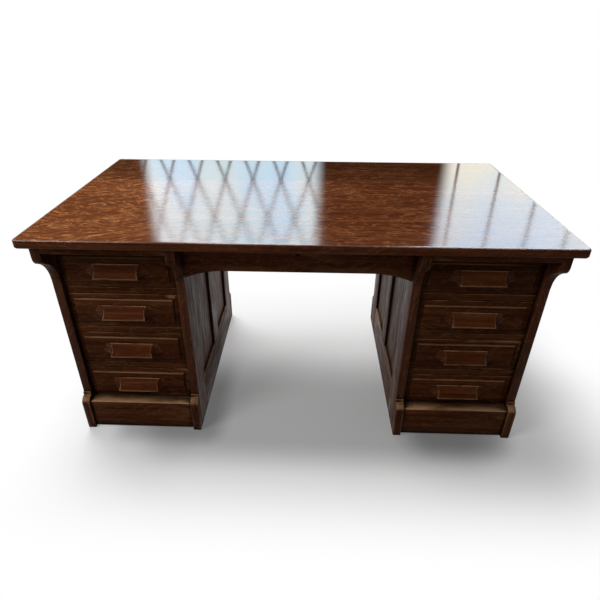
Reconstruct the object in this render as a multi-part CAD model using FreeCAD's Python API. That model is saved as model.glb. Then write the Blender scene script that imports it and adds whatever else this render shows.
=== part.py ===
# Partners desk in oak: a wide top on two pedestals, worked at from both long sides.
# Millimetres. X runs along the desk, Y from the front to the rear, Z up from the floor.
# The origin lies on the floor under the middle of the top.
import FreeCAD, Part
import math
import os
from FreeCAD import Vector

# Overall sizes
desk_height = 760.0
top_width = 1590.0
top_depth = 872.0
top_thickness = 28.0
side_overhang = 38.0
front_overhang = 76.0
kneehole_width = 692.0

# Edges of the top
top_arris_width = 2.5
top_lower_arris_width = 5.0
top_corner_radius = 12.0

# Frame-and-panel sides
side_thickness = 27.0
stile_width = 105.0
middle_stile_width = 76.0
bottom_rail_height = 140.0
top_rail_height = 95.0
panel_thickness = 9.0
groove_depth = 9.0
panel_expansion_gap = 1.0

# Brackets under the overhang of the top
bracket_projection = 65.0
bracket_height = 134.0
bracket_nose_height = 32.0
bracket_round_share = 0.25

# Foot blocks
foot_projection = 31.0
foot_height = 149.0
foot_ledge = 6.0
foot_neck_height = 12.0
foot_toe_radius = 6.0

# Plinth boards between the foot blocks
plinth_setback = 8.0
plinth_floor_gap = 8.0
plinth_drop = 3.0
plinth_arris_radius = 4.0

# Drawer openings of a pedestal
drawer_count = 4
lowest_opening_z = 125.0
divider_thickness = 22.0
divider_depth = 60.0
divider_setback = 14.0
runner_width = 25.0
partition_thickness = 18.0

# Running clearances
front_gap = 2.2
running_gap = 0.3

# Drawer fronts with a raised field
front_setback = 9.0
front_thickness = 17.0
field_rise = 5.0
field_margin = 18.0
field_chamfer = 3.0

# Drawer boxes
box_side_thickness = 12.0
box_side_drop = 18.0
box_back_drop = 6.0
box_bottom_thickness = 8.0
box_bottom_lift = 6.0
box_groove_depth = 5.0

# Carved pulls
pull_top_width = 168.0
pull_base_width = 210.0
pull_height = 43.0
pull_projection = 25.0
pull_top_edge = 2.5
pull_lip_height = 3.5
pull_lip_depth = 4.0
pull_hook_rise = 8.0
pull_end_radius = 33.0
pull_feather = 1.0

# Writing slides
slide_thickness = 18.0
slide_side_gap = 1.0
slide_arris_radius = 2.0

# Centre drawers over the kneehole
centre_setback = 2.0
centre_front_thickness = 20.0
centre_front_height = 94.0
centre_arch_drop = 25.0
centre_arch_width = 124.0
centre_side_height = 70.0
centre_box_lift = 15.0
centre_runner_width = 16.0
centre_runner_height = 18.0

# Keyholes of the centre drawers
keyhole_drop = 32.0
keyhole_diameter = 6.0
keyhole_slot_width = 3.0
keyhole_slot_drop = 9.0
keyhole_depth = 14.0

# How far a cutting tool runs past the piece
overrun = 15.0

# Levels and planes that follow from the sizes above
carcase_top = desk_height - top_thickness
half_depth = top_depth / 2 - front_overhang
outer_x = top_width / 2 - side_overhang
inner_x = kneehole_width / 2
opening_low_x = inner_x + side_thickness
opening_high_x = outer_x - side_thickness
slide_space = slide_thickness + 2 * running_gap
opening_height = (carcase_top - slide_space - lowest_opening_z) / drawer_count - divider_thickness
opening_pitch = opening_height + divider_thickness
divider_front_y = -half_depth + divider_setback
divider_back_y = divider_front_y + divider_depth
centre_front_y = -half_depth + centre_setback
box_end_y = -partition_thickness / 2 - running_gap
side_left_faces = (-outer_x, -inner_x - side_thickness, inner_x, outer_x - side_thickness)
side_names = ("left_outer", "left_inner", "right_inner", "right_outer")
pedestal_spans = {"left": (-opening_high_x, -opening_low_x), "right": (opening_low_x, opening_high_x)}
opposite = {"left": "right", "right": "left"}

floor_centre = Vector(0, 0, 0)
up = Vector(0, 0, 1)
down = Vector(0, 0, -1)


def board(x0, x1, y0, y1, z0, z1):
    """A straight board between two opposite corners."""
    return Part.makeBox(x1 - x0, y1 - y0, z1 - z0, Vector(x0, y0, z0))


def turned(shape):
    """A copy turned half round about the middle of the desk, for the rear side."""
    copy = shape.copy()
    copy.rotate(floor_centre, up, 180)
    return copy


def both_sides(shapes):
    """The shapes of the front side and their copies on the rear side."""
    return shapes + [turned(shape) for shape in shapes]


def line(start, end):
    return Part.LineSegment(start, end).toShape()


def arc_from(start, tangent, end):
    """An arc that leaves start along tangent, a unit vector, and ends at end."""
    chord = end - start
    along = Vector(chord).normalize()
    bisector = (tangent + along).normalize()
    middle = start + bisector * (chord.Length / 2 / bisector.dot(along))
    return Part.Arc(start, middle, end).toShape()


def prism(edges, sweep):
    """A solid from a closed outline, swept along a vector."""
    return Part.Face(Part.Wire(edges)).extrude(sweep)


def polygon_prism(points, sweep):
    return Part.Face(Part.makePolygon(points + points[:1])).extrude(sweep)


def edges_at(shape, test):
    """The edges of a shape whose two ends both pass a test."""
    return [edge for edge in shape.Edges if all(test(vertex.Point) for vertex in edge.Vertexes)]


def near(a, b):
    return math.isclose(a, b, abs_tol=running_gap / 10)


def save(name, shapes):
    """One STEP file per node; a node of several pieces holds them as separate solids."""
    whole = shapes[0] if len(shapes) == 1 else Part.makeCompound(shapes)
    whole.exportStep("parts/" + name + ".step")


def desk_top():
    half_width = top_width / 2
    slab = board(-half_width, half_width, -top_depth / 2, top_depth / 2, carcase_top, desk_height)
    corners = [edge for edge in slab.Edges if near(edge.Length, top_thickness)]
    slab = slab.makeFillet(top_corner_radius, corners)
    slab = slab.makeChamfer(top_arris_width, edges_at(slab, lambda p: near(p.z, desk_height)))
    return slab.makeChamfer(top_lower_arris_width, edges_at(slab, lambda p: near(p.z, carcase_top)))


def side_frame(x0):
    """Stiles, rails and panels of one side, joined by grooves and stub tenons as thick as a panel."""
    x1 = x0 + side_thickness
    groove_x0 = x0 + (side_thickness - panel_thickness) / 2
    groove_x1 = groove_x0 + panel_thickness
    stile_inner_y = half_depth - stile_width
    tenon_y = stile_inner_y + groove_depth
    half_middle = middle_stile_width / 2
    panel_low_z = bottom_rail_height
    panel_high_z = carcase_top - top_rail_height
    tongue = groove_depth - panel_expansion_gap

    front_stile = board(x0, x1, -half_depth, -stile_inner_y, 0, carcase_top)
    front_stile = front_stile.cut(board(groove_x0, groove_x1, -tenon_y, -stile_inner_y, 0, carcase_top))
    rear_stile = front_stile.copy()
    rear_stile.rotate(Vector((x0 + x1) / 2, 0, 0), up, 180)

    def rail(z0, z1, groove_z0, groove_z1):
        piece = board(x0, x1, -stile_inner_y, stile_inner_y, z0, z1)
        piece = piece.fuse(board(groove_x0, groove_x1, -tenon_y, tenon_y, z0, z1))
        return piece.cut(board(groove_x0, groove_x1, -tenon_y, tenon_y, groove_z0, groove_z1))

    bottom_rail = rail(0, panel_low_z, panel_low_z - groove_depth, panel_low_z)
    top_rail = rail(panel_high_z, carcase_top, panel_high_z, panel_high_z + groove_depth)

    tenon_z0 = panel_low_z - groove_depth
    tenon_z1 = panel_high_z + groove_depth
    middle_stile = board(x0, x1, -half_middle, half_middle, panel_low_z, panel_high_z)
    middle_stile = middle_stile.fuse(
        board(groove_x0, groove_x1, -half_middle, half_middle, tenon_z0, tenon_z1))
    for groove_y in (-half_middle, half_middle - groove_depth):
        middle_stile = middle_stile.cut(
            board(groove_x0, groove_x1, groove_y, groove_y + groove_depth, tenon_z0, tenon_z1))

    front_panel = board(groove_x0, groove_x1, -stile_inner_y - tongue, -half_middle + tongue,
                        panel_low_z - tongue, panel_high_z + tongue)
    rear_panel = board(groove_x0, groove_x1, half_middle - tongue, stile_inner_y + tongue,
                       panel_low_z - tongue, panel_high_z + tongue)
    return [front_stile, middle_stile, rear_stile], [bottom_rail, top_rail], [front_panel, rear_panel]


def bracket(x0):
    """A bracket sawn to an ogee, on the front of a stile and under the top."""
    nose_y = -half_depth - bracket_projection
    nose_bottom = Vector(x0, nose_y, carcase_top - bracket_nose_height)
    heel = Vector(x0, -half_depth, carcase_top - bracket_height)
    turn = nose_bottom + (heel - nose_bottom) * bracket_round_share
    back_top = Vector(x0, -half_depth, carcase_top)
    front_top = Vector(x0, nose_y, carcase_top)
    outline = [line(back_top, front_top), line(front_top, nose_bottom), arc_from(nose_bottom, down, turn),
               arc_from(heel, up, turn), line(heel, back_top)]
    return prism(outline, Vector(side_thickness, 0, 0))


def foot_block(x0):
    """A foot block on the front of a stile, with a ledge, a neck, a round shoulder and a round toe."""
    front_y = -half_depth - foot_projection
    neck_y = -half_depth - foot_ledge
    neck_z = foot_height - foot_neck_height
    floor_back = Vector(x0, -half_depth, 0)
    toe_back = Vector(x0, front_y + foot_toe_radius, 0)
    toe_front = Vector(x0, front_y, foot_toe_radius)
    shoulder_low = Vector(x0, front_y, neck_z - foot_projection + foot_ledge)
    shoulder_high = Vector(x0, neck_y, neck_z)
    neck_top = Vector(x0, neck_y, foot_height)
    back_top = Vector(x0, -half_depth, foot_height)
    outline = [line(floor_back, toe_back), arc_from(toe_front, down, toe_back), line(toe_front, shoulder_low),
               arc_from(shoulder_low, up, shoulder_high), line(shoulder_high, neck_top),
               line(neck_top, back_top), line(back_top, floor_back)]
    return prism(outline, Vector(side_thickness, 0, 0))


def plinth_board(x0, x1):
    front_y = -half_depth - foot_projection + plinth_setback
    top_z = lowest_opening_z - plinth_drop
    piece = board(x0, x1, front_y, divider_front_y, plinth_floor_gap, top_z)
    front_arris = edges_at(piece, lambda p: near(p.z, top_z) and near(p.y, front_y))
    return piece.makeFillet(plinth_arris_radius, front_arris)


def rail_levels():
    """The underside of the bottom rail, the dividers and the top rail of a pedestal."""
    return [lowest_opening_z - divider_thickness + i * opening_pitch for i in range(drawer_count + 1)]


def drawer_rails(x0, x1):
    return [board(x0, x1, divider_front_y, divider_back_y, z, z + divider_thickness) for z in rail_levels()]


def drawer_runners(x0, x1):
    """A pair of runners behind each rail, against the two sides of the pedestal."""
    pieces = []
    for z in rail_levels():
        for runner_x in (x0, x1 - runner_width):
            pieces.append(board(runner_x, runner_x + runner_width, divider_back_y, -partition_thickness / 2,
                                z, z + divider_thickness))
    return pieces


def partition(x0, x1):
    """The board across the middle of a pedestal, which stops the drawers and the slides of both sides."""
    return board(x0, x1, -partition_thickness / 2, partition_thickness / 2, rail_levels()[0], carcase_top)


def drawer_box(front, x0, x1, front_back_y, z0, side_height):
    """Sides, back and bottom behind a drawer front; the bottom lies in grooves, under the back."""
    inner_x0 = x0 + box_side_thickness
    inner_x1 = x1 - box_side_thickness
    bottom_z0 = z0 + box_bottom_lift
    bottom_z1 = bottom_z0 + box_bottom_thickness
    bottom = board(inner_x0 - box_groove_depth, inner_x1 + box_groove_depth,
                   front_back_y - box_groove_depth, box_end_y, bottom_z0, bottom_z1)
    sides = [board(side_x, side_x + box_side_thickness, front_back_y, box_end_y, z0, z0 + side_height)
             for side_x in (x0, inner_x1)]
    back = board(inner_x0, inner_x1, box_end_y - box_side_thickness, box_end_y,
                 bottom_z1, z0 + side_height - box_back_drop)
    return [front.cut(bottom)] + [side.cut(bottom) for side in sides] + [back, bottom]


def drawer(x0, x1, opening_z):
    """A pedestal drawer: the front with its raised field, and the box behind it."""
    front_x0 = x0 + front_gap
    front_x1 = x1 - front_gap
    field_y = -half_depth + front_setback
    face_y = field_y + field_rise
    front_z0 = opening_z + front_gap
    front_z1 = opening_z + opening_height - front_gap
    plate = board(front_x0, front_x1, face_y, face_y + front_thickness, front_z0, front_z1)
    field = board(front_x0 + field_margin, front_x1 - field_margin, field_y, face_y + front_thickness / 2,
                  front_z0 + field_margin, front_z1 - field_margin)
    field = field.makeChamfer(field_chamfer, edges_at(field, lambda p: near(p.y, field_y)))
    return drawer_box(plate.fuse(field), front_x0, front_x1, face_y + front_thickness,
                      opening_z + running_gap, opening_height - box_side_drop)


def pull(x0, x1, opening_z):
    """A carved pull: a wedge with a hooked underside, its ends scooped out by a leaning round."""
    half_height = pull_height / 2
    half_top = pull_top_width / 2
    half_base = pull_base_width / 2
    section = [Vector(-half_base, 0, half_height),
               Vector(-half_base, -pull_top_edge, half_height),
               Vector(-half_base, -pull_projection, pull_lip_height - half_height),
               Vector(-half_base, -pull_projection, -half_height),
               Vector(-half_base, pull_lip_depth - pull_projection, -half_height),
               Vector(-half_base, 0, pull_hook_rise - half_height)]
    outline = [Vector(-half_top, 0, half_height), Vector(half_top, 0, half_height),
               Vector(half_base, 0, -half_height), Vector(-half_base, 0, -half_height)]
    wedge = polygon_prism(section, Vector(pull_base_width, 0, 0))
    wedge = wedge.common(polygon_prism(outline, Vector(0, -pull_projection, 0)))
    axis_y = -pull_end_radius - pull_feather
    for side in (-1, 1):
        lean = Vector(side * (half_base - half_top), 0, -pull_height)
        top_end = Vector(side * half_top, axis_y, half_height)
        scoop = Part.makeCylinder(pull_end_radius, lean.Length + 2 * overrun,
                                  top_end - Vector(lean).normalize() * overrun, lean)
        wedge = wedge.cut(scoop)
    wedge.translate(Vector((x0 + x1) / 2, -half_depth + front_setback, opening_z + opening_height / 2))
    return wedge


def writing_slide(x0, x1):
    """A pull-out board between the top rail of a pedestal and the top of the desk."""
    front_y = -half_depth - bracket_projection
    z0 = carcase_top - slide_space + running_gap
    piece = board(x0 + slide_side_gap, x1 - slide_side_gap, front_y, box_end_y, z0, z0 + slide_thickness)
    front_edges = edges_at(piece, lambda p: near(p.y, front_y))
    long_edges = [edge for edge in front_edges if not near(edge.Length, slide_thickness)]
    return piece.makeFillet(slide_arris_radius, long_edges)


def centre_drawer():
    """The drawer over the kneehole: a front with a keyhole and an arched lower edge, and its box."""
    half_width = inner_x - front_gap
    front_y = centre_front_y
    back_y = front_y + centre_front_thickness
    top_z = carcase_top - front_gap
    arch_z = top_z - centre_front_height
    foot_z = arch_z - centre_arch_drop
    arch_x = half_width - centre_arch_width
    left_top = Vector(-half_width, front_y, top_z)
    right_top = Vector(half_width, front_y, top_z)
    left_foot = Vector(-half_width, front_y, foot_z)
    right_foot = Vector(half_width, front_y, foot_z)
    left_spring = Vector(-arch_x, front_y, arch_z)
    right_spring = Vector(arch_x, front_y, arch_z)
    outline = [line(left_top, right_top), line(right_top, right_foot),
               arc_from(right_spring, Vector(1, 0, 0), right_foot), line(right_spring, left_spring),
               arc_from(left_spring, Vector(-1, 0, 0), left_foot), line(left_foot, left_top)]
    front = prism(outline, Vector(0, centre_front_thickness, 0))
    key_z = top_z - keyhole_drop
    front = front.cut(Part.makeCylinder(keyhole_diameter / 2, keyhole_depth, Vector(0, front_y, key_z),
                                        Vector(0, 1, 0)))
    front = front.cut(board(-keyhole_slot_width / 2, keyhole_slot_width / 2, front_y, front_y + keyhole_depth,
                            key_z - keyhole_slot_drop, key_z))
    return drawer_box(front, -half_width, half_width, back_y, arch_z + centre_box_lift, centre_side_height)


def centre_runners():
    """Two runners on the kneehole sides, under the sides of the centre drawer."""
    top_z = carcase_top - front_gap - centre_front_height + centre_box_lift - running_gap
    start_y = centre_front_y + centre_front_thickness + running_gap
    return [board(x, x + centre_runner_width, start_y, box_end_y, top_z - centre_runner_height, top_z)
            for x in (-inner_x, inner_x - centre_runner_width)]


def build():
    os.makedirs("parts", exist_ok=True)
    save("desk_top", [desk_top()])
    for name, x0 in zip(side_names, side_left_faces):
        stiles, rails, panels = side_frame(x0)
        save(name + "_stiles", stiles)
        save(name + "_rails", rails)
        save(name + "_panels", panels)
    save("corbel_brackets", both_sides([bracket(x0) for x0 in side_left_faces]))
    save("foot_blocks", both_sides([foot_block(x0) for x0 in side_left_faces]))
    save("plinth_boards", both_sides([plinth_board(*span) for span in pedestal_spans.values()]))
    save("pedestal_partitions", [partition(*span) for span in pedestal_spans.values()])
    save("centre_drawer_runners", both_sides(centre_runners()))
    save("front_centre_drawer", centre_drawer())
    save("rear_centre_drawer", [turned(piece) for piece in centre_drawer()])
    for side, (x0, x1) in pedestal_spans.items():
        far_side = opposite[side]
        other_span = pedestal_spans[far_side]
        rear_rails = [turned(piece) for piece in drawer_rails(*other_span)]
        rear_runners = [turned(piece) for piece in drawer_runners(*other_span)]
        save(side + "_drawer_rails", drawer_rails(x0, x1) + rear_rails)
        save(side + "_drawer_runners", drawer_runners(x0, x1) + rear_runners)
        slide = writing_slide(x0, x1)
        save("front_" + side + "_writing_slide", [slide])
        save("rear_" + far_side + "_writing_slide", [turned(slide)])
        for number in range(1, drawer_count + 1):
            opening_z = lowest_opening_z + (drawer_count - number) * opening_pitch
            pieces = drawer(x0, x1, opening_z)
            handle = pull(x0, x1, opening_z)
            save("front_%s_drawer_%d" % (side, number), pieces)
            save("rear_%s_drawer_%d" % (far_side, number), [turned(piece) for piece in pieces])
            save("front_%s_pull_%d" % (side, number), [handle])
            save("rear_%s_pull_%d" % (far_side, number), [turned(handle)])


build()
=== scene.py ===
# Looks of a partners desk in dark quarter-sawn oak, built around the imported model.
# Metres, in the same frame as the model: X along the desk, Y from front to rear, Z up.
import math

import bpy
from mathutils import Matrix, Vector


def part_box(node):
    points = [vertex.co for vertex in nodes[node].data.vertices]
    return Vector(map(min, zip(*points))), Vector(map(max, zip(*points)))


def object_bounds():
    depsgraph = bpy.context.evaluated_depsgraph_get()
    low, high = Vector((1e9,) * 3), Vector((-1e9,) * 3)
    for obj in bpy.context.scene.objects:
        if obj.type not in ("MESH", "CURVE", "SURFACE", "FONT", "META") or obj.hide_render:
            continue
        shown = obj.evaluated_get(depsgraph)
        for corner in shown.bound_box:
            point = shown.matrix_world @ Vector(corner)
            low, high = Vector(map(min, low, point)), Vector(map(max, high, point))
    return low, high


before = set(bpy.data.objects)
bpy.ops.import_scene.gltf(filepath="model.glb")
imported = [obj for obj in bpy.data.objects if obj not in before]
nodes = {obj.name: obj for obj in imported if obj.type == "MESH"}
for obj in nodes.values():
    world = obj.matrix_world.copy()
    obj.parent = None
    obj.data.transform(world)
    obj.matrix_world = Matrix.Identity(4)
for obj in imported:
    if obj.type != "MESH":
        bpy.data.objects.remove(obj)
cad_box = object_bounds()
MM = 0.001
WHITE = (1, 1, 1, 1)

# Camera, as fitted to the photograph
IMAGE_SIZE = 600
FOCAL_PIXELS = 479.231
OPTICAL_AXIS_PIXEL = (295.821, 299.324)
CAMERA_PLACE = Vector((0.031427, -1.631887, 1.299172))
CAMERA_PITCH = 0.536
CAMERA_YAW = -0.029
CAMERA_ROLL = 0.005
SENSOR_WIDTH = 36.0
VIEW_DISTANCE = 500.0

# Floor: shaded near the desk, plain white further off, and dimmer in the light that it passes on
FLOOR_HALF_SIZE = 60.0
FLOOR_COLOUR = (0.93, 0.93, 0.93, 1)
FLOOR_BOUNCE_COLOUR = (0.38, 0.38, 0.38, 1)
FLOOR_ROUGHNESS = 0.9
SHADOW_REACH = (0.0, 0.45)
PLAIN_WHITE_SHARES = (0.30, 1.0)

# Soft shade on the floor under the front of the desk, close to each pedestal and to the right of the desk:
# the span along X, how dark it is and the distances over which it fades, and where it ends towards the rear
CONTACT_AREAS = (((-0.42, 0.56), 0.60, (40 * MM, 210 * MM)),
                 ((-0.59, -0.33), 0.60, (10 * MM, 100 * MM)),
                 ((0.49, 0.66), 0.55, (30 * MM, 150 * MM)),
                 ((0.62, 1.00), 0.86, (50 * MM, 350 * MM)))
CONTACT_FADE_Y = (-0.17, 0.14)

# Two windows close behind the desk, which its varnished top mirrors
WINDOW_Y = 0.75
WINDOW_Z = (0.80, 4.0)
WINDOW_LEFT_X = (-0.835, 0.115)
WINDOW_RIGHT_X = (0.66, 2.0)
WINDOW_SOFT_EDGE = 0.085
GLOW_Z = (0.80, 1.45)
LEFT_GLOW = ((1.85, 2.52, 2.85, 1), (4.6, 5.9, 6.6, 1))
RIGHT_GLOW = ((2.70, 2.79, 2.41, 1), (3.8, 4.8, 5.7, 1))
SKY_Z = (1.5, 2.2)
SKY_GAIN = 3.5
PANE_TINTS = ((1.08, 1.01, 0.96, 1), (0.94, 0.98, 1.05, 1))
PANE_PATCH_SCALE = (3.5, 1, 2.2)
PANE_PATCH_LEVELS = (0.40, 0.60)

# Bars of the windows: leaded diamonds on the left, upright bars on the right
LATTICE_SPACING = 0.141
LATTICE_CROSSING = (-0.680, 0.938)
LATTICE_LEAN = 0.35
BAR_SPACING = 0.209
BAR_X = 0.757
BAR_WIDTH = 13 * MM
BAR_SOFT_SHARE = 0.01
BAR_LEVEL = 0.12

# Dark walls round the stage, which keep the rest of the varnish dark
WALL_RADIUS = 5.0
WALL_Z = (0.9, 7.0)
WALL_SIDES = 24
WALL_COLOUR = (0.006, 0.006, 0.006, 1)

# Lamps: place, target, width and height, power, and whether the desk mirrors them
LAMPS = {"key": ((-1.5, 2.0, 4.6), (0, 0, 0.4), (2.7, 2.7), 215, False),
         "fill": ((-2.2, -1.8, 2.3), (0, -0.3, 0.4), (1.2, 1.2), 37, True),
         "rear": ((0.0, 2.2, 0.8), (0, 0.3, 0), (1.8, 0.6), 17, False)}
WORLD_COLOUR = (0.15, 0.15, 0.15, 1)

# Eased arrises of the boards
ARRIS_WIDTH = 1.4 * MM
DRAWER_ARRIS = 0.7 * MM
TOP_ARRIS = 1.6 * MM
BLOCK_ARRIS = 2.0 * MM
ARRIS_SEGMENTS = 2
ARRIS_ANGLE = math.radians(35)
WELD_DISTANCE = 0.02 * MM
FLAT_ANGLE = math.radians(0.5)

# Colours of the oak
DARK = (0.045, 0.0115, 0.0040, 1)
MIDDLE = (0.115, 0.030, 0.0095, 1)
LIGHT = (0.22, 0.070, 0.024, 1)
FLECK = (0.52, 0.205, 0.078, 1)
CHIP = (0.22, 0.095, 0.050, 1)
WORN = (0.34, 0.17, 0.078, 1)
# A lighter colour for rubbed faces, also the painted highlight on ledges and rims
RUBBED_AND_LIT = (0.57, 0.32, 0.16, 1)
PORE = (0.020, 0.006, 0.003, 1)
LINING_DARK = (0.20, 0.105, 0.045, 1)
LINING_LIGHT = (0.36, 0.215, 0.105, 1)
OAK_STOPS = ((0.41, DARK), (0.55, MIDDLE), (0.71, LIGHT))
LINING_STOPS = ((0.40, LINING_DARK), (0.68, LINING_LIGHT))

# Grain: scales in waves per metre along the grain, across it and into the board, and weights of layers
STREAK_SCALE = (1.6, 60, 60)
STREAK_WEIGHT = 0.55
LINE_SCALE = (5, 300, 300)
LINE_WEIGHT = 0.25
CLOUD_SCALE = (2.2, 6, 6)
CLOUD_WEIGHT = 0.3
PORE_SCALE = (36, 1050, 1050)
PORE_LEVELS = (0.60, 0.70)
PORE_STRENGTH = 0.55
LINING_PORE_STRENGTH = 0.4
BOARD_SHIFT = 9.0
BOARD_TONES = (0.85, 1.15)

# Relief of the grain and the uneven gloss over it
GRAIN_RELIEF = 0.16
GRAIN_DEPTH = 0.5 * MM
LINE_HEIGHT_SHARE = 0.6
GLOSS_SCALE = (8, 110, 110)
GLOSS_LEVELS = (0.35, 0.65)
GLOSS_SPREAD = (-0.12, 0.15)
LINING_ROUGHNESS = 0.65
LINING_SPECULAR = 0.2

# Ray flecks: the scale of each layer with the width of its flecks, and the two kinds of patch that they make
FLECK_LAYERS = (((4.5, 24, 1), 0.014), ((10, 54, 1), 0.019))
FLECK_WAVES = 0.5
FLECK_BREAK_SCALE = (16, 34, 1)
FLECK_BREAK_LEVELS = (0.37, 0.54)
FLECK_PATCH_SCALE = (5, 9, 9)
RISING_SLANT = math.radians(24)
RISING_LEVELS = (0.40, 0.54)
FALLING_SLANT = math.radians(-16)
FALLING_LEVELS = (0.58, 0.46)
NOISE_MIDDLE = 0.5

# The top: planks, quiet flecks with lively spots (middle in X, reach, strength), painted light on the left
# and painted shade at the rear
TOP_PLANK_WIDTH = 0.1454
QUIET_FLECKS = 0.26
LIVELY_SPOTS = ((-0.8, 0.5, 1.0), (0.2, 0.4, 0.45))
LIT_LEFT_X = (-0.2, -0.5)
LIT_LEFT_STRENGTH = 0.55
SHADED_REAR_Y = (-0.05, 0.43)
REAR_SHADE = 0.32

# Wear of arrises and ledges, partly painted highlight where they face up; chips; painted shade on lower
# arrises and in gaps and corners; stains on the linings
MASK_SAMPLES = 6
EDGE_TURN = (0.003, 0.07)
EDGE_PATCH_SCALE = (14, 60, 60)
EDGE_PATCH_LEVELS = (0.36, 0.60)
# Arrises that face up are worn more, partly a painted highlight; arrises that face down get painted shade
UPPER_EDGE_SLOPES = (0.1, 0.7)
UPPER_EDGE_WEAR_AND_LIGHT = (0.7, 1.4)
LOWER_EDGE_SLOPES = (-0.05, -0.35)
# Ledges that face up made lighter: rubbed wear and painted highlight
LEDGE_PATCH_SCALE = (9, 30, 30)
LEDGE_PATCH_LEVELS = (0.30, 0.60)
LEDGE_PATCH_WEAR_AND_LIGHT = (0.35, 1.0)
LEDGE_SLOPES = (0.3, 0.65)
FLAT_SLOPES = (0.97, 0.85)
CHIP_PLACE = Vector((-0.397, -0.346, 0.536))
CHIP_REACH = (15 * MM, 60 * MM, 7 * MM)
CHIP_EDGE_SCALE = (150, 150, 300)
CHIP_EDGE_STRENGTH = 2.0
CHIP_EDGE_LEVELS = (2.2, 1.7)
# Painted shade in gaps and inner corners, darkened by ambient occlusion, with a sharper edge to it on the
# plinth's ledge
CREASE_SHADE_REACH = 24 * MM
CREASE_SHADE_OPENNESS = (0.50, 0.88)
CREASE_SHADE_LEVEL = 0.18
LEDGE_SHADE_REACH = 40 * MM
LEDGE_SHADE_OPENNESS = (0.78, 0.84)
LINING_STAIN_SCALE = (4, 7, 7)
LINING_STAIN_LEVELS = (0.45, 0.75)
LINING_STAIN_STRENGTH = 0.5

# Varnish of the top
COAT_ROUGHNESS = 0.11
COAT_ROUNDING = 12 * MM
RIPPLE_SCALE = (14, 130, 130)
RIPPLE_STRENGTH = 0.8
RIPPLE_DEPTH = 0.35 * MM

# A face looks along an axis where its normal has more than this along it, and a level face more still
FACING = 0.5
LEVEL = 0.99

# Drawers: their fronts, behind which the oak is bare, and the keyholes of the centre drawers
FRONT_THICKNESS = 22 * MM
CENTRE_FRONT_THICKNESS = 20 * MM
BOX_BACK_Y = 25 * MM
KEYHOLE_REACH = 8 * MM
KEYHOLE_DROP = 35 * MM
KEYHOLE_STAIN = (10 * MM, 5 * MM)
SPARE = 0.5 * MM
FRONT, BOX_DEEP, BOX_ACROSS, KEYHOLE = range(4)

# Pulls: the slope of the leaning face, and the share of the depth that the lip takes
PULL_FACE_SLOPES = (0.35, 0.65)
PULL_FACE_TURN = 0.05
PULL_LIP_TURN = 0.2
PULL_LIP_SHARE = 0.1
PULL_FACE, PULL_SCOOP = range(2)


def make(tree, kind, inputs=None, **settings):
    """Adds a shader node; an input is a value or the socket that feeds it."""
    made = tree.nodes.new(kind)
    for name, value in settings.items():
        setattr(made, name, value)
    for name, value in (inputs or {}).items():
        if isinstance(value, bpy.types.NodeSocket):
            tree.links.new(value, made.inputs[name])
        else:
            made.inputs[name].default_value = value
    return made


def maths(tree, operation, first, second=0.0, clamp=False):
    made = make(tree, "ShaderNodeMath", {0: first, 1: second}, operation=operation)
    made.use_clamp = clamp
    return made.outputs[0]


def times(tree, first, second):
    return maths(tree, "MULTIPLY", first, second)


def spread(tree, value, low, high, to_low=0.0, to_high=1.0):
    """Maps low to high onto to_low to to_high, smoothly and with clamped ends."""
    made = make(tree, "ShaderNodeMapRange", {"Value": value, "From Min": low, "From Max": high,
                                             "To Min": to_low, "To Max": to_high})
    made.interpolation_type = "SMOOTHSTEP"
    return made.outputs[0]


def mix(tree, factor, first, second, blend="MIX"):
    made = make(tree, "ShaderNodeMix", data_type="RGBA", blend_type=blend)
    for socket, value in ((made.inputs[0], factor), (made.inputs[6], first), (made.inputs[7], second)):
        if isinstance(value, bpy.types.NodeSocket):
            tree.links.new(value, socket)
        else:
            socket.default_value = value
    return made.outputs[2]


def split(tree, vector):
    return make(tree, "ShaderNodeSeparateXYZ", {"Vector": vector}).outputs


def joined(tree, x, y, z):
    return make(tree, "ShaderNodeCombineXYZ", {0: x, 1: y, 2: z}).outputs[0]


def length(tree, x, y, z):
    vector = joined(tree, x, y, z)
    return make(tree, "ShaderNodeVectorMath", {0: vector}, operation="LENGTH").outputs["Value"]


def grey(tree, level):
    return joined(tree, level, level, level)


def dimmed(tree, colour, level):
    return mix(tree, 1.0, colour, grey(tree, level), "MULTIPLY")


def object_place(tree):
    """X, Y and Z of the shaded point, in the frame of the desk."""
    return split(tree, make(tree, "ShaderNodeTexCoord").outputs["Object"])


def true_normal(tree):
    return make(tree, "ShaderNodeNewGeometry").outputs["True Normal"]


def bevelled_normal(tree, radius):
    return make(tree, "ShaderNodeBevel", {"Radius": radius}, samples=MASK_SAMPLES).outputs[0]


def noise(tree, vector, scale, detail=3.0, roughness=0.55, distortion=0.0):
    """Noise with a scale of its own along each axis, in waves per metre."""
    stretched = make(tree, "ShaderNodeMapping", {"Vector": vector, "Scale": scale})
    made = make(tree, "ShaderNodeTexNoise", {"Vector": stretched.outputs[0], "Scale": 1.0, "Detail": detail,
                                             "Roughness": roughness, "Distortion": distortion})
    return made.outputs["Fac"]


def ramp(tree, factor, stops):
    made = make(tree, "ShaderNodeValToRGB", {"Fac": factor})
    while len(made.color_ramp.elements) < len(stops):
        made.color_ramp.elements.new(0.5)
    for element, (place, colour) in zip(made.color_ramp.elements, stops):
        element.position = place
        element.color = colour
    return made.outputs["Color"]


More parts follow.
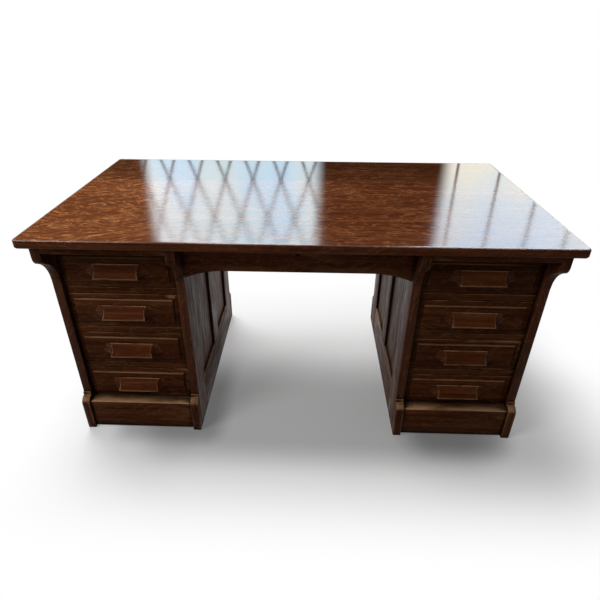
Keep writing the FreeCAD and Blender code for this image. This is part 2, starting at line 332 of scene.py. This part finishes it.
def grain_space(tree, along, plank_width=0.0):
    """Object coordinates with the grain along the first axis, moved to another place for each board, and a
    number from 0 to 1 for the board."""
    parts = object_place(tree)
    order = {"X": (0, 1, 2), "Y": (1, 0, 2), "Z": (2, 0, 1)}[along]
    board = make(tree, "ShaderNodeNewGeometry").outputs["Random Per Island"]
    if plank_width:
        plank = maths(tree, "FLOOR", maths(tree, "DIVIDE", parts[order[1]], plank_width))
        board = make(tree, "ShaderNodeTexWhiteNoise", {"W": plank}, noise_dimensions="1D").outputs["Value"]
    shift = times(tree, board, BOARD_SHIFT)
    moved = [maths(tree, "ADD", parts[axis], shift) for axis in order]
    return joined(tree, *moved), board


def ray_flecks(tree, vector, slant):
    """Thin wavy flecks that cross the grain at a slant, as medullary rays do on quarter-sawn faces."""
    along, across, deep = split(tree, vector)[:3]
    side = maths(tree, "ADD", across, deep)
    cosine, sine = math.cos(slant), math.sin(slant)
    run = maths(tree, "ADD", times(tree, along, cosine), times(tree, side, sine))
    step = maths(tree, "SUBTRACT", times(tree, along, sine), times(tree, side, cosine))
    slanted = joined(tree, run, step, 0.0)
    flecks = 0.0
    for scale, reach in FLECK_LAYERS:
        field = noise(tree, slanted, scale, distortion=FLECK_WAVES)
        off = maths(tree, "ABSOLUTE", maths(tree, "SUBTRACT", field, NOISE_MIDDLE))
        flecks = maths(tree, "MAXIMUM", flecks, spread(tree, off, reach, reach / 3))
    broken = spread(tree, noise(tree, slanted, FLECK_BREAK_SCALE, detail=2.0), *FLECK_BREAK_LEVELS)
    return times(tree, flecks, broken)


def figure(tree, vector):
    """Patches of flecks that rise and patches of flecks that fall."""
    patch = noise(tree, vector, FLECK_PATCH_SCALE)
    kinds = [times(tree, ray_flecks(tree, vector, slant), spread(tree, patch, *levels))
             for slant, levels in ((RISING_SLANT, RISING_LEVELS), (FALLING_SLANT, FALLING_LEVELS))]
    return maths(tree, "MAXIMUM", *kinds)


def lively_share(tree, x):
    """How strongly the flecks of the top show along X: quietly, and more round each lively spot."""
    share = QUIET_FLECKS
    for middle, reach, strength in LIVELY_SPOTS:
        off = maths(tree, "ABSOLUTE", maths(tree, "SUBTRACT", x, middle))
        share = maths(tree, "MAXIMUM", share, spread(tree, off, reach, reach / 2, 0.0, strength))
    return share


def edge_masks(tree, radius, vector, broken):
    """Worn arrises, more where they face up as a painted highlight, and lower arrises darkened as painted
    shade: where a bevelled normal leaves the true one, broken up by noise.
    """
    rounded = bevelled_normal(tree, radius)
    alike = make(tree, "ShaderNodeVectorMath", {0: rounded, 1: true_normal(tree)}, operation="DOT_PRODUCT")
    edge = spread(tree, maths(tree, "SUBTRACT", 1.0, alike.outputs["Value"]), *EDGE_TURN)
    height = split(tree, rounded)[2]
    patches = noise(tree, vector, EDGE_PATCH_SCALE, detail=4.0)
    worn = times(tree, edge, spread(tree, height, *UPPER_EDGE_SLOPES, *UPPER_EDGE_WEAR_AND_LIGHT))
    worn = times(tree, worn, spread(tree, patches, *EDGE_PATCH_LEVELS, 1.0 - broken, 1.0))
    shaded_under = times(tree, edge, spread(tree, height, *LOWER_EDGE_SLOPES))
    return worn, shaded_under


def ledge_wear_and_highlight(tree, vector, flats):
    """Faces that look up made lighter, or only the slanted ones, broken up by noise along the grain: partly
    rubbed wear, partly painted highlight.
    """
    height = split(tree, true_normal(tree))[2]
    patches = noise(tree, vector, LEDGE_PATCH_SCALE, detail=4.0)
    upward = spread(tree, height, *LEDGE_SLOPES)
    if not flats:
        upward = times(tree, upward, spread(tree, height, *FLAT_SLOPES))
    return times(tree, upward, spread(tree, patches, *LEDGE_PATCH_LEVELS, *LEDGE_PATCH_WEAR_AND_LIGHT))


def chip_mask(tree, place):
    """A ragged patch on one drawer's front where the surface has chipped away."""
    shares = [maths(tree, "DIVIDE", maths(tree, "SUBTRACT", coordinate, middle), reach)
              for coordinate, middle, reach in zip(place, CHIP_PLACE, CHIP_REACH)]
    rough = noise(tree, joined(tree, *place[:3]), CHIP_EDGE_SCALE)
    ragged = maths(tree, "ADD", length(tree, *shares), times(tree, rough, CHIP_EDGE_STRENGTH))
    return spread(tree, ragged, *CHIP_EDGE_LEVELS)


def keyhole_stain(tree, place):
    """Dirt round the keyholes, which lie at one height in the middle of the desk's front and of its rear."""
    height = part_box("front_centre_drawer")[1][2] - KEYHOLE_DROP
    off = length(tree, place[0], 0, maths(tree, "SUBTRACT", place[2], height))
    return spread(tree, off, *KEYHOLE_STAIN)


def crease_shade(tree, reach, openness):
    """Painted shade in gaps and inner corners, from ambient occlusion: low there, 1 on open faces."""
    made = make(tree, "ShaderNodeAmbientOcclusion", {"Distance": reach}, samples=MASK_SAMPLES)
    return spread(tree, made.outputs["AO"], *openness, CREASE_SHADE_LEVEL, 1.0)


def grain(tree, vector):
    """Long streaks, fine lines and open pores along the grain."""
    streaks = noise(tree, vector, STREAK_SCALE, detail=5.0, roughness=0.6, distortion=0.4)
    lines = noise(tree, vector, LINE_SCALE, roughness=0.6)
    clouds = noise(tree, vector, CLOUD_SCALE)
    body = maths(tree, "ADD", times(tree, streaks, STREAK_WEIGHT), times(tree, lines, LINE_WEIGHT))
    body = maths(tree, "ADD", body, times(tree, clouds, CLOUD_WEIGHT))
    pores = spread(tree, noise(tree, vector, PORE_SCALE, detail=2.0), *PORE_LEVELS)
    return body, lines, pores


def finish(tree, shader, vector, colour, lines, pores, roughness, relief=GRAIN_RELIEF):
    """Links colour, roughness and the relief of the grain to the shader."""
    gloss = noise(tree, vector, GLOSS_SCALE, detail=4.0)
    rough = spread(tree, gloss, *GLOSS_LEVELS, *(roughness + change for change in GLOSS_SPREAD))
    height = maths(tree, "SUBTRACT", times(tree, lines, LINE_HEIGHT_SHARE), pores)
    bump = make(tree, "ShaderNodeBump", {"Strength": relief, "Distance": GRAIN_DEPTH, "Height": height})
    tree.links.new(colour, shader.inputs["Base Color"])
    tree.links.new(rough, shader.inputs["Roughness"])
    tree.links.new(bump.outputs[0], shader.inputs["Normal"])


def varnish(tree, shader, vector):
    """A clear coat with faint ripples along the grain that runs softly over the arrises."""
    ripple = make(tree, "ShaderNodeBump", {"Strength": RIPPLE_STRENGTH, "Distance": RIPPLE_DEPTH,
                                           "Height": noise(tree, vector, RIPPLE_SCALE, detail=2.0),
                                           "Normal": bevelled_normal(tree, COAT_ROUNDING)})
    tree.links.new(ripple.outputs[0], shader.inputs["Coat Normal"])
    shader.inputs["Coat Weight"].default_value = 1.0
    shader.inputs["Coat Roughness"].default_value = COAT_ROUGHNESS


def new_material(name):
    material = bpy.data.materials.new(name)
    material.use_nodes = True
    return material, material.node_tree, material.node_tree.nodes["Principled BSDF"]


def oak(name, along, tone, flecks=0.25, wear=0.5, wear_radius=3.0 * MM, broken=1.0, under_shade=0.7, ledges=0.3,
        flats=True, roughness=0.5, specular=0.04, relief=GRAIN_RELIEF, is_top=False, front_marks=False,
        shade_reach=CREASE_SHADE_REACH, shade_openness=CREASE_SHADE_OPENNESS, worn_colour=WORN):
    """Dark stained quarter-sawn oak, its grain along one axis: worn, with painted highlights and painted
    shade, and on the top varnished.
    """
    material, tree, shader = new_material(name)
    vector, board = grain_space(tree, along, TOP_PLANK_WIDTH if is_top else 0.0)
    place = object_place(tree)

    body, lines, pores = grain(tree, vector)
    colour = ramp(tree, body, OAK_STOPS)
    fleck = times(tree, figure(tree, vector), flecks)
    shade = times(tree, spread(tree, board, 0.0, 1.0, *BOARD_TONES), tone)
    if is_top:
        fleck = times(tree, fleck, lively_share(tree, place[0]))
        # Paler towards the left: painted light
        colour = mix(tree, spread(tree, place[0], *LIT_LEFT_X, 0.0, LIT_LEFT_STRENGTH), colour, LIGHT)
        # Darker towards the rear: painted shade
        shade = times(tree, shade, spread(tree, place[1], *SHADED_REAR_Y, 1.0, REAR_SHADE))
        varnish(tree, shader, vector)
    colour = mix(tree, fleck, colour, FLECK)
    colour = mix(tree, times(tree, pores, PORE_STRENGTH), colour, PORE)
    colour = dimmed(tree, colour, shade)

    worn, shaded_under = edge_masks(tree, wear_radius, vector, broken)
    rubbed_and_lit = times(tree, ledge_wear_and_highlight(tree, vector, flats), ledges)
    # Worn arrises and lighter ledges, partly painted highlight
    worn_and_lit = maths(tree, "MAXIMUM", times(tree, worn, wear), rubbed_and_lit, clamp=True)
    colour = mix(tree, worn_and_lit, colour, worn_colour)
    # Lower arrises darkened with the colour of the pores: painted shade
    colour = mix(tree, times(tree, shaded_under, under_shade), colour, PORE)
    if front_marks:
        colour = mix(tree, chip_mask(tree, place), colour, CHIP)
        colour = mix(tree, keyhole_stain(tree, place), colour, PORE)
    # Darker in gaps and corners: painted shade
    colour = dimmed(tree, colour, crease_shade(tree, shade_reach, shade_openness))

    finish(tree, shader, vector, colour, lines, pores, roughness, relief)
    shader.inputs["Specular IOR Level"].default_value = specular
    return material


def bare_oak(name, along):
    """Unstained oak of the drawer boxes, dulled by age."""
    material, tree, shader = new_material(name)
    vector = grain_space(tree, along)[0]
    body, lines, pores = grain(tree, vector)
    colour = ramp(tree, body, LINING_STOPS)
    patches = noise(tree, vector, LINING_STAIN_SCALE, detail=4.0)
    stains = spread(tree, patches, *LINING_STAIN_LEVELS, 0.0, LINING_STAIN_STRENGTH)
    colour = mix(tree, stains, colour, LINING_DARK)
    colour = mix(tree, times(tree, pores, LINING_PORE_STRENGTH), colour, PORE)
    finish(tree, shader, vector, colour, lines, pores, LINING_ROUGHNESS)
    shader.inputs["Specular IOR Level"].default_value = LINING_SPECULAR
    return material


def first_slot(polygon):
    return 0


def everywhere(polygon):
    return True


def dress(names, materials, choose=first_slot, arris=ARRIS_WIDTH, smooth=everywhere):
    """Gives CAD nodes their materials, one for each face as choose picks it, and eased arrises."""
    for name in names:
        piece = nodes[name]
        piece.data.materials.clear()
        for material in materials:
            piece.data.materials.append(material)
        for polygon in piece.data.polygons:
            polygon.material_index = choose(polygon)
            polygon.use_smooth = smooth(polygon)
        weld = piece.modifiers.new("weld", "WELD")
        weld.merge_threshold = WELD_DISTANCE
        flat = piece.modifiers.new("flat", "DECIMATE")
        flat.decimate_type = "DISSOLVE"
        flat.angle_limit = FLAT_ANGLE
        flat.delimit = {"MATERIAL"}
        bevel = piece.modifiers.new("arris", "BEVEL")
        bevel.width = arris
        bevel.segments = ARRIS_SEGMENTS
        bevel.limit_method = "ANGLE"
        bevel.angle_limit = ARRIS_ANGLE
        bevel.harden_normals = True


def ending(*endings):
    return [name for name in nodes if name.endswith(endings)]


def dress_frame():
    """The pedestals and what joins them."""
    upright = oak("oak_upright", "Z", tone=0.54, specular=0.06, roughness=0.45, relief=0.4)
    deep = oak("oak_deep", "Y", tone=0.54, specular=0.06, roughness=0.45, relief=0.4, wear=1.0, ledges=0.9,
               worn_colour=RUBBED_AND_LIT)
    # Brackets darker than the frame round them: painted shade under the top's overhang
    shaded_bracket = oak("oak_bracket_shaded", "Z", tone=0.36, wear=0.35)
    block = oak("oak_block", "Z", tone=0.48, wear=0.7, ledges=0.6, worn_colour=RUBBED_AND_LIT)
    # The plinth's ledge: lighter at the front as painted highlight, darker at the back as painted shade
    plinth = oak("oak_plinth", "X", tone=0.6, ledges=1.0, specular=0.02, shade_reach=LEDGE_SHADE_REACH,
                 shade_openness=LEDGE_SHADE_OPENNESS, worn_colour=RUBBED_AND_LIT)
    dress(ending("_stiles", "_panels"), [upright])
    dress(ending("_runners", "outer_rails", "inner_rails"), [deep])
    dress(["corbel_brackets"], [shaded_bracket], arris=BLOCK_ARRIS)
    dress(["foot_blocks"], [block], arris=BLOCK_ARRIS)
    dress(["plinth_boards"], [plinth])


def dress_top():
    """The varnished top, with a plainer edge that is darker as painted shade. The top face is flat, and its
    rounded arris smooth.
    """
    face = oak("oak_top", "X", tone=1.08, flecks=1.0, wear=0.35, ledges=0.0, roughness=0.4, specular=0.0,
               is_top=True)
    # The same board's edge in a darker copy of the oak: painted shade
    edge = oak("oak_top_edge_shaded", "X", tone=0.54, flecks=0.2, wear=0.3, ledges=0.0)
    dress(["desk_top"], [face, edge], lambda polygon: int(polygon.normal.z < FACING), TOP_ARRIS,
          lambda polygon: abs(polygon.normal.z) < LEVEL)


def reach_of(name):
    """How far from the middle of the desk a piece on the front reaches."""
    return -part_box(name)[0][1]


def box_part(polygon, face_y, thickness):
    """The slot of a drawer's face: its front, its keyhole, or its box by the way of the grain."""
    distance = abs(polygon.center.y)
    if distance > face_y - thickness + SPARE:
        near_keyhole = abs(polygon.center.x) < KEYHOLE_REACH and polygon.area < KEYHOLE_REACH ** 2
        return KEYHOLE if near_keyhole and distance < face_y - SPARE else FRONT
    on_back = distance < BOX_BACK_Y or abs(polygon.normal.y) > FACING
    return BOX_ACROSS if on_back or abs(polygon.normal.z) > FACING else BOX_DEEP


def dress_drawers():
    """The drawers, the writing slides and the rails round them."""
    across = oak("oak_across", "X", tone=0.43, wear=0.8, ledges=0.75, flats=False, specular=0.02,
                 front_marks=True)
    # The walls of the keyholes nearly black: painted shade in the holes
    keyhole_shade = oak("oak_keyhole_shaded", "Y", tone=0.1, wear=0.0, ledges=0.0, specular=0.0)
    slots = [across, bare_oak("lining_deep", "Y"), bare_oak("lining_across", "X"), keyhole_shade]
    face_y = reach_of("front_left_drawer_1")
    centre_face_y = reach_of("front_centre_drawer")
    drawers = [name for name in nodes if "_drawer_" in name and name[-1].isdigit()]
    dress(drawers, slots, lambda polygon: box_part(polygon, face_y, FRONT_THICKNESS), DRAWER_ARRIS)
    dress(ending("centre_drawer"), slots,
          lambda polygon: box_part(polygon, centre_face_y, CENTRE_FRONT_THICKNESS))
    dress(ending("drawer_rails") + ["pedestal_partitions"], [across], arris=DRAWER_ARRIS)
    dress(ending("writing_slide"), [across])


def pull_part(polygon, lip_y):
    """The slot of a pull's face: its leaning face and lip, or its scooped ends and edge by the drawer."""
    low, high = PULL_FACE_SLOPES
    on_face = abs(polygon.normal.x) < PULL_FACE_TURN and low < polygon.normal.z < high
    on_lip = abs(polygon.normal.x) < PULL_LIP_TURN and abs(polygon.center.y) > lip_y
    return PULL_FACE if on_face or on_lip else PULL_SCOOP


def dress_pulls():
    """The carved pulls: a flat rubbed face and smooth scoops, darker as painted shade."""
    face = oak("oak_pull", "X", tone=0.62, flecks=0.1, specular=0.02, wear=0.9, wear_radius=6.0 * MM,
               broken=0.75, under_shade=0.0, ledges=0.0, relief=0.5, worn_colour=RUBBED_AND_LIT)
    shaded_scoop = oak("oak_scoop_shaded", "X", tone=0.45, wear=0.15, ledges=0.0)
    pulls = [name for name in nodes if "_pull_" in name]
    low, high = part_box("front_left_pull_1")
    lip_y = -low[1] - PULL_LIP_SHARE * (high[1] - low[1])
    dress(pulls, [face, shaded_scoop], lambda polygon: pull_part(polygon, lip_y),
          smooth=lambda polygon: polygon.material_index == PULL_SCOOP)


def camera():
    level_share = math.cos(CAMERA_PITCH)
    forward = Vector((math.sin(CAMERA_YAW) * level_share, math.cos(CAMERA_YAW) * level_share,
                      -math.sin(CAMERA_PITCH)))
    level = Vector((math.cos(CAMERA_YAW), -math.sin(CAMERA_YAW), 0))
    upward = level.cross(forward)
    right = level * math.cos(CAMERA_ROLL) + upward * math.sin(CAMERA_ROLL)
    above = upward * math.cos(CAMERA_ROLL) - level * math.sin(CAMERA_ROLL)
    data = bpy.data.cameras.new("camera")
    data.sensor_fit = "HORIZONTAL"
    data.sensor_width = SENSOR_WIDTH
    data.lens = SENSOR_WIDTH * FOCAL_PIXELS / IMAGE_SIZE
    data.shift_x = 0.5 - OPTICAL_AXIS_PIXEL[0] / IMAGE_SIZE
    data.shift_y = OPTICAL_AXIS_PIXEL[1] / IMAGE_SIZE - 0.5
    data.clip_end = VIEW_DISTANCE
    eye = bpy.data.objects.new("camera", data)
    turn = Matrix((right, above, -forward)).transposed().to_4x4()
    eye.matrix_world = Matrix.Translation(CAMERA_PLACE) @ turn
    bpy.context.scene.collection.objects.link(eye)
    bpy.context.scene.camera = eye


def stage_piece(name, points, faces, material):
    mesh = bpy.data.meshes.new(name)
    mesh.from_pydata(points, [], faces)
    mesh.materials.append(material)
    piece = bpy.data.objects.new(name, mesh)
    bpy.context.scene.collection.objects.link(piece)
    return piece


def show_in_mirrors_only(piece):
    piece.visible_camera = False
    piece.visible_diffuse = False
    piece.visible_shadow = False


def glowing_material(name):
    """A material that only gives light, and its emission node."""
    material, tree, shader = new_material(name)
    tree.nodes.remove(shader)
    light = make(tree, "ShaderNodeEmission", {"Strength": 1.0})
    tree.links.new(light.outputs[0], tree.nodes["Material Output"].inputs["Surface"])
    return material, light


def seen_directly(tree):
    """1 for rays from the camera, and from mirrors and glass, 0 for the light that surfaces pass on."""
    path = make(tree, "ShaderNodeLightPath").outputs
    mirrored = maths(tree, "MAXIMUM", path["Is Glossy Ray"], path["Is Transmission Ray"])
    return maths(tree, "MAXIMUM", path["Is Camera Ray"], mirrored)


def distance_from(tree, place, *spans):
    """Distance along the floor from the rectangle of two spans, 0 inside it."""
    beyond = []
    for coordinate, (low, high) in zip(place, spans):
        off = maths(tree, "ABSOLUTE", maths(tree, "SUBTRACT", coordinate, (low + high) / 2))
        beyond.append(maths(tree, "MAXIMUM", maths(tree, "SUBTRACT", off, (high - low) / 2), 0))
    return length(tree, *beyond, 0)


def contact_shade(tree, place):
    """A grey that darkens towards the front of the desk and each pedestal, as the camera sees the floor."""
    span_y = (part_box("plinth_boards")[0][1], CONTACT_FADE_Y[1])
    shade = 1.0
    for span_x, darkest, reach in CONTACT_AREAS:
        away = distance_from(tree, place, span_x, span_y)
        shade = times(tree, shade, spread(tree, away, *reach, darkest, 1.0))
    in_view = make(tree, "ShaderNodeLightPath").outputs["Is Camera Ray"]
    ahead = spread(tree, place[1], *CONTACT_FADE_Y, 1.0, 0.0)
    return mix(tree, times(tree, in_view, ahead), WHITE, grey(tree, shade))


def floor():
    """A pale floor that keeps the shadow near the desk and runs out to white."""
    material, tree, shader = new_material("floor")
    place = object_place(tree)
    seen = seen_directly(tree)
    contact = contact_shade(tree, place)
    shown = mix(tree, 1.0, FLOOR_COLOUR, contact, "MULTIPLY")
    tree.links.new(mix(tree, seen, FLOOR_BOUNCE_COLOUR, shown), shader.inputs["Base Color"])
    shader.inputs["Roughness"].default_value = FLOOR_ROUGHNESS
    shader.inputs["Specular IOR Level"].default_value = 0.0
    desk_spans = list(zip(*cad_box))[:2]
    away = distance_from(tree, place, *desk_spans)
    clear = times(tree, spread(tree, away, *SHADOW_REACH, *PLAIN_WHITE_SHARES), seen)
    white = make(tree, "ShaderNodeEmission", {"Color": contact, "Strength": 1.0})
    both = make(tree, "ShaderNodeMixShader", {0: clear, 1: shader.outputs[0], 2: white.outputs[0]})
    tree.links.new(both.outputs[0], tree.nodes["Material Output"].inputs["Surface"])
    half = FLOOR_HALF_SIZE
    corners = [(-half, -half, 0), (half, -half, 0), (half, half, 0), (-half, half, 0)]
    stage_piece("floor", corners, [(0, 1, 2, 3)], material)


def bar_shade(tree, place, spacing):
    """0 on bars that cross a line at even spacing, 1 between them."""
    turn = maths(tree, "FRACT", maths(tree, "DIVIDE", place, spacing))
    phase = maths(tree, "ABSOLUTE", maths(tree, "SUBTRACT", turn, 0.5))
    edge = 0.5 - BAR_WIDTH / spacing / 2
    return spread(tree, phase, edge + BAR_SOFT_SHARE, edge - BAR_SOFT_SHARE)


def lattice(tree, place):
    """Leaded diamonds: two sets of leaning bars."""
    crossing_x, crossing_z = LATTICE_CROSSING
    shade = 1.0
    for lean in (LATTICE_LEAN, -LATTICE_LEAN):
        drift = times(tree, maths(tree, "SUBTRACT", place[2], crossing_z), lean)
        across = maths(tree, "SUBTRACT", maths(tree, "SUBTRACT", place[0], crossing_x), drift)
        shade = times(tree, shade, bar_shade(tree, across, LATTICE_SPACING))
    return shade


def glazing_bars(tree, place):
    return bar_shade(tree, maths(tree, "SUBTRACT", place[0], BAR_X), BAR_SPACING)


def window(name, low_x, high_x, glow, bars):
    """A bright upright pane behind the desk that only mirrored rays see, with dark bars across it."""
    material, light = glowing_material(name)
    tree = material.node_tree
    place = object_place(tree)
    level = times(tree, spread(tree, place[0], low_x, low_x + WINDOW_SOFT_EDGE),
                  spread(tree, place[0], high_x, high_x - WINDOW_SOFT_EDGE))
    level = times(tree, level, spread(tree, bars(tree, place), 0.0, 1.0, BAR_LEVEL, 1.0))
    level = times(tree, level, spread(tree, place[2], *SKY_Z, 1.0, SKY_GAIN))
    height = make(tree, "ShaderNodeMapRange", {"Value": place[2], "From Min": GLOW_Z[0],
                                               "From Max": GLOW_Z[1]})
    colour = mix(tree, height.outputs[0], *glow)
    patch = noise(tree, joined(tree, *place[:3]), PANE_PATCH_SCALE, detail=1.0)
    tint = mix(tree, spread(tree, patch, *PANE_PATCH_LEVELS), *PANE_TINTS)
    colour = mix(tree, 1.0, colour, tint, "MULTIPLY")
    tree.links.new(colour, light.inputs["Color"])
    tree.links.new(level, light.inputs["Strength"])
    low_z, high_z = WINDOW_Z
    points = [(low_x, WINDOW_Y, low_z), (high_x, WINDOW_Y, low_z),
              (high_x, WINDOW_Y, high_z), (low_x, WINDOW_Y, high_z)]
    show_in_mirrors_only(stage_piece(name, points, [(0, 1, 2, 3)], material))


def dark_walls():
    """A dark ring round the stage that only reflections see, as flags round a glossy product."""
    material, light = glowing_material("dark_walls")
    light.inputs["Color"].default_value = WALL_COLOUR
    angles = [2 * math.pi * side / WALL_SIDES for side in range(WALL_SIDES)]
    points = [(WALL_RADIUS * math.cos(angle), WALL_RADIUS * math.sin(angle), z)
              for z in WALL_Z for angle in angles]
    faces = []
    for side in range(WALL_SIDES):
        after = (side + 1) % WALL_SIDES
        faces.append((side, after, WALL_SIDES + after, WALL_SIDES + side))
    show_in_mirrors_only(stage_piece("dark_walls", points, faces, material))


def softbox(name, place, target, size, power, mirrored):
    data = bpy.data.lights.new(name, "AREA")
    data.shape = "RECTANGLE"
    data.size, data.size_y = size
    data.energy = power
    lamp = bpy.data.objects.new(name, data)
    lamp.location = place
    lamp.rotation_euler = (Vector(target) - Vector(place)).to_track_quat("-Z", "Y").to_euler()
    lamp.visible_camera = False
    lamp.visible_glossy = mirrored
    bpy.context.scene.collection.objects.link(lamp)


def lights():
    for name, settings in LAMPS.items():
        softbox(name, *settings)
    window("window_left", *WINDOW_LEFT_X, LEFT_GLOW, lattice)
    window("window_right", *WINDOW_RIGHT_X, RIGHT_GLOW, glazing_bars)
    dark_walls()
    world = bpy.data.worlds.new("studio")
    bpy.context.scene.world = world
    world.use_nodes = True
    tree = world.node_tree
    level = mix(tree, seen_directly(tree), WORLD_COLOUR, WHITE)
    tree.links.new(level, tree.nodes["Background"].inputs["Color"])
    tree.nodes["Background"].inputs["Strength"].default_value = 1.0


bpy.context.scene.view_settings.view_transform = "Standard"
dress_top()
dress_frame()
dress_drawers()
dress_pulls()
floor()
lights()
camera()
